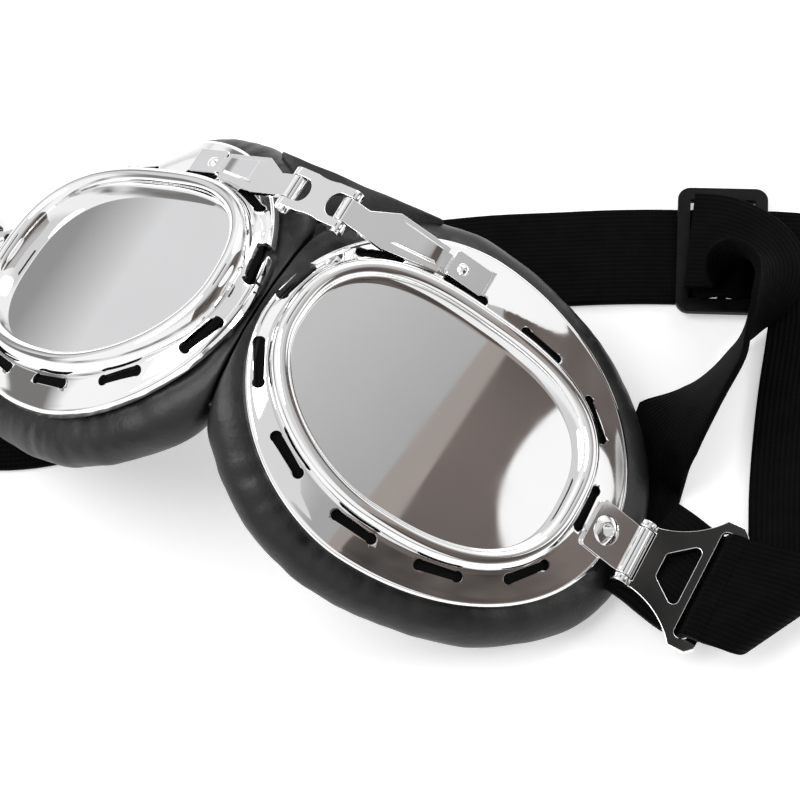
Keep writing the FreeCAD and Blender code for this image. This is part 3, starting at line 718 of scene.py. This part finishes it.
def make_saddle_half(side, tail):
    """Half of the padded leather saddle that joins the two rolls behind the bridge."""
    deselect()
    bpy.ops.mesh.primitive_cube_add(size=2)
    piece = new_piece("leather_nose_gusset_" + tail)
    choose(piece)
    bpy.ops.object.mode_set(mode="EDIT")
    bpy.ops.mesh.select_all(action="SELECT")
    bpy.ops.mesh.subdivide(number_cuts=saddle_cuts)
    bpy.ops.object.mode_set(mode="OBJECT")
    for vertex in piece.data.vertices:
        x, y, z = vertex.co
        out = (x + 1) / 2 * (1 + saddle_overlap) - saddle_overlap
        share = (y + 1) / 2
        half = saddle_half_nose + (saddle_half_brow - saddle_half_nose) * share ** 3
        top = saddle_top_nose + (saddle_top_brow - saddle_top_nose) * share ** 2
        crown = saddle_thickness * (1 - saddle_side_share * out * out) * (1 - saddle_end_share * abs(y) ** 6)
        folds = Vector((side * out * saddle_folds_across, y * saddle_folds_up, saddle_seed))
        wrinkle = pucker_height * noise.noise(folds)
        droop = saddle_droop * out * out * share
        spread_out = saddle_brow_spread * (out * share) ** 2
        vertex.co = (
            side * out * half,
            saddle_low + (saddle_high - saddle_low) * share + spread_out,
            top - droop + crown * (z - 1) / 2 + wrinkle * (z + 1),
        )
    face_outwards(piece)
    apply_modifier(piece, "SUBSURF", levels=1, render_levels=1)
    smooth(piece, degrees=180)
    finish_piece(piece, None, leather, ["nose_gusset"])
    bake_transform(piece)
    return piece


# Elastic strap

bar_right = Vector(joints["buckle_right_swing"]["pos_m"])
slot_x = bar_right.x + slot_from_bar
slot_y = bar_right.y
slot_z = bar_right.z
hem_below_slot = 0.0017
hem_length = 0.0165
hem_drop = 0.0019
hem_skew = 0.0036
left_hem_start = 2

# Places along the strap in shares: first of the hem and the slot, then of the strap's reach. Each of the
# later ones is x, y, height and the strap's turn about its own line in degrees. Heights measured from a slot
# are shares of the slot's own height.
hem_shares = ((1.0, 1.0, 1.0), (0.73, 0.7, 0.6), (0.42, 0.25, 0.05), (0.15, 0.0, 0.0))
slot_rise_shares = ((-0.25, -0.5), (0.0, 0.0), (0.28, 0.55), (0.81, 0.8), (1.3, 0.86))
left_slot_shares = (
    (0.125, -0.013, 1.26, -30), (0.200, -0.083, 1.28, -90), (0.185, -0.213, 1.24, -95),
    (0.085, -0.313, 0.92, -130), (-0.045, -0.353, 0.21, -172), (-0.205, -0.363, 0, -180),
    (-0.365, -0.343, 0, -180), (-0.505, -0.268, 0, -180), (-0.615, -0.153, 0, -180),
    (-0.735, 0.017, 0, -180),
)
to_slider_shares = (
    (-0.720, -0.420, 0, -180), (-0.497, -0.262, 0, -180), (-0.330, -0.170, 0, -180),
    (-0.230, -0.116, 0, -180),
)
from_slider_shares = (
    (0.185, 0.062, 0.002, -180), (0.237, 0.028, 0.003, -180), (0.274, -0.038, 0.002, -180),
    (0.302, -0.120, 0, -180),
)
right_slot_shares = (
    (0.010, 0.567, 0, -180), (0.050, 0.447, 0, -180), (0.095, 0.327, 0.04, -180),
    (0.140, 0.222, 0.21, -180),
)
return_slider_shares = (
    (-0.070, -0.030, 0.024, 0), (-0.005, -0.007, 0.027, 2), (0.060, -0.008, 0.036, 12),
    (0.113, -0.044, 0.078, 42), (0.143, -0.110, 0.098, 76), (0.153, -0.195, 0.102, 92),
)
return_slot_shares = (
    (-0.172, 0.510, 1.16, 108), (-0.195, 0.405, 0.98, 122), (-0.226, 0.320, 0.70, 143),
    (-0.247, 0.267, 0.36, 161), (-0.256, 0.235, 0.14, 172),
)

# Both edges of the return strap's end, tucked under the right hem
return_tuck = (
    ((0.0712, 0.0258, 0.0010), (0.0876, 0.0214, 0.0017)),
    ((0.0755, 0.0222, 0.0010), (0.0886, 0.0170, 0.0017)),
    ((0.0806, 0.0176, 0.0012), (0.0890, 0.0118, 0.0016)),
    ((0.0826, 0.0130, 0.0012), (0.0894, 0.0085, 0.0016)),
)
tuck_steps = 9
strap_aside = 0.0008
strap_over = slider_top + soft_gap + strap_thickness / 2


def smooth_line(places):
    """Points on a smooth line through all the places, each a list of numbers, with its slope."""
    knots = [0]
    for a, b in zip(places, places[1:]):
        knots.append(knots[-1] + math.dist(a[:3], b[:3]))
    slopes = []
    for i in range(len(places)):
        j, k = max(i - 1, 0), min(i + 1, len(places) - 1)
        if j == i or k == i:
            slope = [(b - a) / (knots[k] - knots[j]) for a, b in zip(places[j], places[k])]
        else:
            early, late = knots[i] - knots[j], knots[k] - knots[i]
            slope = [
                ((m - a) / early * late + (b - m) / late * early) / (early + late)
                for a, m, b in zip(places[j], places[i], places[k])
            ]
        slopes.append(slope)
    points = []
    for i in range(len(places) - 1):
        ends = (places[i], places[i + 1], slopes[i], slopes[i + 1], knots[i + 1] - knots[i])
        for step in range(strap_steps):
            points.append(on_span(*ends, step / strap_steps))
    points.append((list(places[-1]), slopes[-1]))
    return points


def on_span(a, b, slope_a, slope_b, span, t):
    """Value and slope of a cubic between two places."""
    value = []
    slope = []
    for p, q, m, n in zip(a, b, slope_a, slope_b):
        m, n = m * span, n * span
        value.append(
            p * (2 * t ** 3 - 3 * t * t + 1) + m * (t ** 3 - 2 * t * t + t)
            + q * (3 * t * t - 2 * t ** 3) + n * (t ** 3 - t * t))
        slope.append(
            p * (6 * t * t - 6 * t) + m * (3 * t * t - 4 * t + 1)
            + q * (6 * t - 6 * t * t) + n * (3 * t * t - 2 * t))
    return value, slope


def stations_along(places):
    """Pairs of edge points of the strap along a smooth line of (x, y, z, turn about the line)."""
    stations = []
    for value, slope in smooth_line(places):
        ahead = Vector(slope[:3]).normalized()
        level = ahead.cross(Vector((0, 0, 1))).normalized()
        upright = level.cross(ahead).normalized()
        turn = math.radians(value[3])
        wide = (level * math.cos(turn) + upright * math.sin(turn)) * (strap_width / 2)
        middle = Vector(value[:3])
        middle.z = max(middle.z, strap_low + abs(wide.z))
        stations.append((middle - wide, middle + wide))
    return stations


def rolled_turn(corner):
    """Edge points where the strap rolls under itself about a slanting line."""
    heading = Vector((math.cos(roll_heading), math.sin(roll_heading), 0))
    axis = Vector((math.cos(roll_axis), math.sin(roll_axis), 0))
    up = Vector((0, 0, 1))
    out = axis.cross(up)
    across = up.cross(heading) * strap_width
    stations = []
    for i in range(roll_turn_steps + 1):
        turn = math.pi * i / roll_turn_steps
        pair = []
        for start in (across, Vector()):
            travel = (roll_radius * turn - start.dot(out)) / heading.dot(out)
            along = start.dot(axis) + travel * heading.dot(axis)
            drop = roll_radius * (1 - math.cos(turn))
            pair.append(corner + axis * along + out * (roll_radius * math.sin(turn)) - up * drop)
        stations.append(tuple(pair))
    return stations


def from_slider(shares, base):
    """Places measured from the slider, with their height above a base."""
    return [
        (slider_place.x + x * strap_reach, slider_place.y + y * strap_reach, base + up * strap_reach, turn)
        for x, y, up, turn in shares
    ]


def from_slot(side, shares):
    """Places measured from the slot of a buckle, with their height above the table."""
    rise = slot_z - strap_low
    return [
        (side * (slot_x + x * strap_reach), slot_y + y * strap_reach, strap_low + up * rise, turn)
        for x, y, up, turn in shares
    ]


def slot_rise(side):
    """The strap's way from its hem under a buckle, up through the slot and over the end bar."""
    places = []
    for back, aside, down in hem_shares:
        x = side * (slot_x - back * hem_length)
        places.append((x, slot_y + aside * hem_skew, slot_z - hem_below_slot - down * hem_drop, 0))
    for out, up in slot_rise_shares:
        places.append((side * (slot_x + out * slot_width), slot_y, slot_z + up * slot_width, 0))
    return places


def slider_run():
    """The strap's way under one end of the slider, over its middle bar and under the other end."""
    end = slider_length / 2
    window = end - slider_bar
    half = [(end + slider_bar, strap_low), (window + slider_bar / 2, strap_low), (window, strap_low)]
    half.append((slider_middle_bar / 2 + strap_thickness, strap_over))
    run = [(-along, height) for along, height in half] + [(0, strap_over + strap_crown)] + half[::-1]
    direction = Vector((math.cos(slider_turn), math.sin(slider_turn), 0))
    aside = Vector((direction.y, -direction.x, 0)) * strap_aside
    places = []
    for along, height in run:
        spot = slider_place + direction * along + aside
        places.append((spot.x, spot.y, height, -180))
    return places


def strap_piece(name, stations):
    """A stretch of strap from a grid, with its thickness, rounded edges and a map in metres."""
    deselect()
    count = len(stations) - 1
    bpy.ops.mesh.primitive_grid_add(x_subdivisions=count, y_subdivisions=strap_across, size=2, calc_uvs=True)
    piece = new_piece(name)
    middles = [(left + right) / 2 for left, right in stations]
    lengths = [0]
    for a, b in zip(middles, middles[1:]):
        lengths.append(lengths[-1] + (b - a).length)
    marks = []
    for vertex in piece.data.vertices:
        i = round((vertex.co.x + 1) / 2 * count)
        share = (vertex.co.y + 1) / 2
        marks.append((share * strap_width, lengths[i]))
        left, right = stations[i]
        vertex.co = left.lerp(right, share)
    chart = piece.data.uv_layers.active.data
    for loop in piece.data.loops:
        chart[loop.index].uv = marks[loop.vertex_index]
    apply_modifier(piece, "SOLIDIFY", thickness=strap_thickness, offset=0)
    weights = piece.data.attributes.new("bevel_weight_edge", "FLOAT", "EDGE").data
    for edge in piece.data.edges:
        (side_a, far_a), (side_b, far_b) = [marks[index % len(marks)] for index in edge.vertices]
        if side_a == side_b and side_a in (0, strap_width) and far_a != far_b:
            weights[edge.index].value = 1
    apply_modifier(piece, "BEVEL", width=strap_edge_round, segments=2, limit_method="WEIGHT")
    smooth(piece, degrees=50)
    finish_piece(piece, None, elastic)
    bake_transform(piece)
    return piece


def make_straps():
    left_rise = slot_rise(-1)[left_hem_start:]
    left_run = from_slot(-1, left_slot_shares)
    back_run = from_slider(to_slider_shares, strap_low)
    outer_run = from_slider(from_slider_shares, strap_low) + from_slot(1, right_slot_shares)
    over_slider = slider_run()
    route = left_rise + left_run + back_run + over_slider + outer_run
    stations = stations_along(route)
    top = slot_z + slot_rise_shares[-1][1] * slot_width
    corner = Vector((slot_x + roll_corner_x, slot_y - strap_width / 2, top))
    rise = stations_along(slot_rise(1))
    home = [(right, left) for left, right in (rise + rolled_turn(corner))[::-1]]
    whole = stations + home
    left_end = (len(left_rise) - 1) * strap_steps
    left_stop = (len(left_rise) + len(left_run)) * strap_steps
    slider_stop = left_stop + (len(back_run) + len(over_slider) // 2) * strap_steps
    outer_stop = (len(route) - len(right_slot_shares)) * strap_steps
    right_end = len(whole) - len(rise)
    for name, first, last in (
        ("strap_left_end", 0, left_end), ("strap_left_run", left_end, left_stop),
        ("strap_back_run", left_stop, slider_stop), ("strap_outer_run", slider_stop, outer_stop),
        ("strap_front_run", outer_stop, right_end), ("strap_right_end", right_end, len(whole) - 1),
    ):
        piece = strap_piece(name, whole[first:last + 1])
        if name.endswith("_run"):
            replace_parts(piece, "strap_main")


def make_return_strap():
    route = from_slider(return_slider_shares, strap_over) + from_slot(1, return_slot_shares)
    tuck = [(Vector(left), Vector(right)) for left, right in return_tuck]
    stations = stations_along(route)[:-tuck_steps] + tuck
    turn_stop = (len(return_slider_shares) - 1) * strap_steps
    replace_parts(strap_piece("strap_return_near", stations[:turn_stop + 1]), "strap_return")
    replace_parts(strap_piece("strap_return_far", stations[turn_stop:]), "strap_return")


# Stage, light and camera

camera_place = Vector((0.14903, -0.13918, 0.41382))
camera_target = Vector((0.03331, -0.00090, 0.043))
camera_roll = math.radians(-12.446)
camera_lens = 90
camera_sensor = 36
camera_near = 0.01

floor_size = 6
floor_drop = 0.0002
floor_tone = 0.8
floor_glow = 0.45
world_fill = 0.35

# Bands of the surroundings by height, as mirrors see them
low_band_start = (0.03, 0.06)
low_band_end = (0.2, 0.3)
low_band_tone = (0.12, 0.115, 0.11)
low_band_patch_scale = 2.4
low_band_patch_depth = (0.25, 0.9)
low_band_patch_range = (0.4, 0.6)
high_band_start = (0.7, 0.85)
high_band_tone = 0.74

# Studio cards. An upright card is its place to the side, its low corner and its high corner. A line across
# a card is its slope and its height, and a shade or beam has its softness after these.
card_edge = 0.002
right_card = (0.7, (-0.5, 0.2), (0.8, 1.5))
right_dark = (0.06, 0.055, 0.052)
right_dark_warm = (0.19, 0.16, 0.148)
right_brown = (0.36, 0.32, 0.30)
right_brown_line = (0.085, 0.83)
right_pale_line = (0.19, 0.9036)
right_pale_shade = (0.5, 1.12, 0.12)
right_pale_tones = (0.4, 0.55)
right_cloud_scale = 3.2
right_oval_middle = (0, 0.345, 0.47)
right_oval_radii = (0.14, 0.26)
right_oval_edge_share = 0.01
left_card = (-0.7, (0.05, 0.03), (0.4, 0.3))
left_beam = (0, 0.112, 0.018)
left_tones = ((0.3, 0.3, 0.3), (0.72, 0.72, 0.73))
overhead_middle = Vector((-0.02, 0.36, 1.0))
overhead_half = Vector((0.1, 0.12, 0))
overhead_tones = ((0.012, 0.012, 0.012), (0.06, 0.058, 0.056))
overhead_cloud_scale = 9

# Each lamp: its place, its size and its power in watts
lamps = {
    "key_lamp": ((-0.5, -0.3, 1.1), 0.9, 9),
    "fill_lamp": ((0.1, 1.1, 0.9), 0.8, 5),
    "side_lamp": ((1.1, 0.55, 0.7), 0.5, 7),
}


def make_camera():
    data = bpy.data.cameras.new("camera")
    data.lens = camera_lens
    data.sensor_width = camera_sensor
    data.clip_start = camera_near
    ahead = (camera_target - camera_place).normalized()
    level = ahead.cross(Vector((0, 0, 1))).normalized()
    upright = level.cross(ahead)
    right = level * math.cos(camera_roll) + upright * math.sin(camera_roll)
    up = right.cross(ahead)
    camera = bpy.data.objects.new("camera", data)
    camera.matrix_world = Matrix.Translation(camera_place) @ Matrix((right, up, -ahead)).transposed().to_4x4()
    bpy.context.scene.collection.objects.link(camera)
    bpy.context.scene.camera = camera


def seen_white(tree, light_path):
    """1 where a camera, mirror or see-through ray looks, 0 where light is gathered."""
    first = node(tree, "ShaderNodeMath", operation="MAXIMUM")
    second = node(tree, "ShaderNodeMath", operation="MAXIMUM")
    tree.links.new(light_path.outputs["Is Camera Ray"], first.inputs[0])
    tree.links.new(light_path.outputs["Is Glossy Ray"], first.inputs[1])
    tree.links.new(first.outputs[0], second.inputs[0])
    tree.links.new(light_path.outputs["Is Transmission Ray"], second.inputs[1])
    return second.outputs[0]


def glowing_material(piece, name):
    """A new material that glows white, laid on a piece of the stage."""
    material = bpy.data.materials.new(name)
    material.use_nodes = True
    tree = material.node_tree
    tree.nodes.clear()
    glow = node(tree, "ShaderNodeEmission", Color=(1, 1, 1, 1))
    out = node(tree, "ShaderNodeOutputMaterial")
    tree.links.new(glow.outputs[0], out.inputs["Surface"])
    piece.data.materials.clear()
    piece.data.materials.append(material)
    return tree, glow, out


def make_floor():
    deselect()
    bpy.ops.mesh.primitive_plane_add(size=floor_size, location=(0, 0, -floor_drop))
    floor = new_piece("floor")
    tree, glow, out = glowing_material(floor, "white_floor")
    matt = node(tree, "ShaderNodeBsdfDiffuse", Color=(*grey(floor_tone), 1))
    both = node(tree, "ShaderNodeAddShader")
    level = node(tree, "ShaderNodeMath", operation="MULTIPLY")
    level.inputs[1].default_value = floor_glow
    light_path = node(tree, "ShaderNodeLightPath")
    tree.links.new(seen_white(tree, light_path), level.inputs[0])
    tree.links.new(level.outputs[0], glow.inputs["Strength"])
    tree.links.new(matt.outputs[0], both.inputs[0])
    tree.links.new(glow.outputs[0], both.inputs[1])
    tree.links.new(both.outputs[0], out.inputs["Surface"])


def above_line(tree, place, slope, height, soft):
    """1 above a slanting line on a card, 0 below it."""
    along = node(tree, "ShaderNodeVectorMath", operation="DOT_PRODUCT")
    along.inputs[1].default_value = (0, slope, 1)
    tree.links.new(place, along.inputs[0])
    return spread(tree, along.outputs["Value"], 0, 1, height - soft, height + soft)


def inside_oval(tree, place, middle, radii, soft):
    """1 inside an oval on a card, 0 outside it."""
    away = node(tree, "ShaderNodeVectorMath", operation="SUBTRACT")
    away.inputs[1].default_value = middle
    size = node(tree, "ShaderNodeVectorMath", operation="MULTIPLY")
    size.inputs[1].default_value = (0, 1 / radii[0], 1 / radii[1])
    reach = node(tree, "ShaderNodeVectorMath", operation="LENGTH")
    tree.links.new(place, away.inputs[0])
    tree.links.new(away.outputs[0], size.inputs[0])
    tree.links.new(size.outputs[0], reach.inputs[0])
    return spread(tree, reach.outputs["Value"], 1, 0, 1 - soft, 1 + soft)


def layer(tree, factor, under, over):
    """One tone laid over others where a mask is 1."""
    made = tree.nodes.new("ShaderNodeMix")
    made.data_type = "RGBA"
    tree.links.new(factor, made.inputs["Factor"])
    for socket, tone in (("A", under), ("B", over)):
        if isinstance(tone, tuple):
            made.inputs[socket].default_value = (*tone, 1)
        else:
            tree.links.new(tone, made.inputs[socket])
    return made.outputs["Result"]


def card_piece(name, corner):
    """Studio card seen only by mirrors. A corner's place comes from its two signs."""
    deselect()
    bpy.ops.mesh.primitive_plane_add(size=2)
    card = new_piece(name)
    for vertex in card.data.vertices:
        vertex.co = corner(vertex.co.x, vertex.co.y)
    tree, glow, _ = glowing_material(card, name)
    card.visible_camera = False
    card.visible_diffuse = False
    card.visible_shadow = False
    return tree, glow.inputs["Color"], object_place(tree)


def upright_card(name, x, low, high):
    middle, half = (Vector(low) + Vector(high)) / 2, (Vector(high) - Vector(low)) / 2
    return card_piece(name, lambda a, b: (x, middle.x + a * half.x, middle.y + b * half.y))


def make_right_card():
    """Dark card with a brown and a pale field above slanting lines, and a white oval."""
    tree, colour, place = upright_card("right_card", *right_card)
    cloud = grain(tree, "ShaderNodeTexNoise", place, right_cloud_scale, Detail=2)
    dark = tint(tree, spread(tree, cloud.outputs[0], 0, 1), right_dark, right_dark_warm)
    tone = layer(tree, above_line(tree, place, *right_brown_line, card_edge), dark, right_brown)
    pale = tint(tree, above_line(tree, place, *right_pale_shade), *map(grey, right_pale_tones))
    tone = layer(tree, above_line(tree, place, *right_pale_line, card_edge), tone, pale)
    oval = inside_oval(tree, place, right_oval_middle, right_oval_radii, right_oval_edge_share)
    tree.links.new(layer(tree, oval, tone, grey(1.0)), colour)


def make_left_card():
    """Grey card, brighter in its upper part."""
    tree, colour, place = upright_card("left_card", *left_card)
    tree.links.new(tint(tree, above_line(tree, place, *left_beam), *left_tones), colour)


def make_overhead_card():
    """Small dark card high above, which the level strap buckles mirror."""
    tree, colour, place = card_piece(
        "overhead_card", lambda a, b: overhead_middle + overhead_half * Vector((a, b, 0)))
    cloud = grain(tree, "ShaderNodeTexNoise", place, overhead_cloud_scale, Detail=2)
    tone = tint(tree, spread(tree, cloud.outputs[0], 0, 1), *overhead_tones)
    tree.links.new(tone, colour)


def times(tree, first, second):
    made = node(tree, "ShaderNodeMath", operation="MULTIPLY")
    tree.links.new(first, made.inputs[0])
    tree.links.new(second, made.inputs[1])
    return made.outputs[0]


def make_world():
    """White surroundings. Mirrors also see a low dark band with soft patches, and a greyer top."""
    world = bpy.data.worlds.new("studio")
    world.use_nodes = True
    tree = world.node_tree
    back = tree.nodes["Background"]
    light_path = node(tree, "ShaderNodeLightPath")
    strength = spread(tree, seen_white(tree, light_path), world_fill, 1, 0, 1)
    tree.links.new(strength, back.inputs["Strength"])
    sky = tree.nodes.new("ShaderNodeTexCoord").outputs["Generated"]
    along = node(tree, "ShaderNodeSeparateXYZ")
    tree.links.new(sky, along.inputs[0])
    height = along.outputs["Z"]
    mirror = light_path.outputs["Is Glossy Ray"]
    band = times(tree, spread(tree, height, 0, 1, *low_band_start), spread(tree, height, 1, 0, *low_band_end))
    patch = grain(tree, "ShaderNodeTexNoise", sky, low_band_patch_scale, Detail=1)
    depth = spread(tree, patch.outputs[0], *low_band_patch_depth, *low_band_patch_range)
    dim = times(tree, band, depth)
    overhead = times(tree, spread(tree, height, 0, 1, *high_band_start), mirror)
    tone = layer(tree, overhead, grey(1.0), grey(high_band_tone))
    tone = layer(tree, times(tree, dim, mirror), tone, low_band_tone)
    tree.links.new(tone, back.inputs["Color"])
    bpy.context.scene.world = world


def make_lamp(name, place, size, power):
    data = bpy.data.lights.new(name, "AREA")
    data.shape = "DISK"
    data.size = size
    data.energy = power
    lamp = bpy.data.objects.new(name, data)
    lamp.location = place
    lamp.rotation_euler = (-Vector(place)).to_track_quat("-Z", "Y").to_euler()
    bpy.context.scene.collection.objects.link(lamp)


def coat(cad_node, material):
    """Lay a material on a CAD piece that is shown as it is."""
    mesh = frame["nodes"][cad_node].data
    mesh.materials.clear()
    mesh.materials.append(material)


make_camera()
for side, tail in ((1, "right"), (-1, "left")):
    make_rim(side, tail)
    make_frame(side, tail)
    make_vent_lining(side, tail)
    make_cushion(side, tail)
    coat("lens_" + tail, lens_mirror)
    coat("lens_seal_" + tail, seal_rubber)
make_hardware()
make_bridge_seats()
make_saddle_half(1, "right")
make_saddle_half(-1, "left")
make_straps()
make_return_strap()
make_floor()
make_right_card()
make_left_card()
make_overhead_card()
make_world()
for name, (place, size, power) in lamps.items():
    make_lamp(name, place, size, power)
bpy.context.scene.view_settings.view_transform = "Standard"
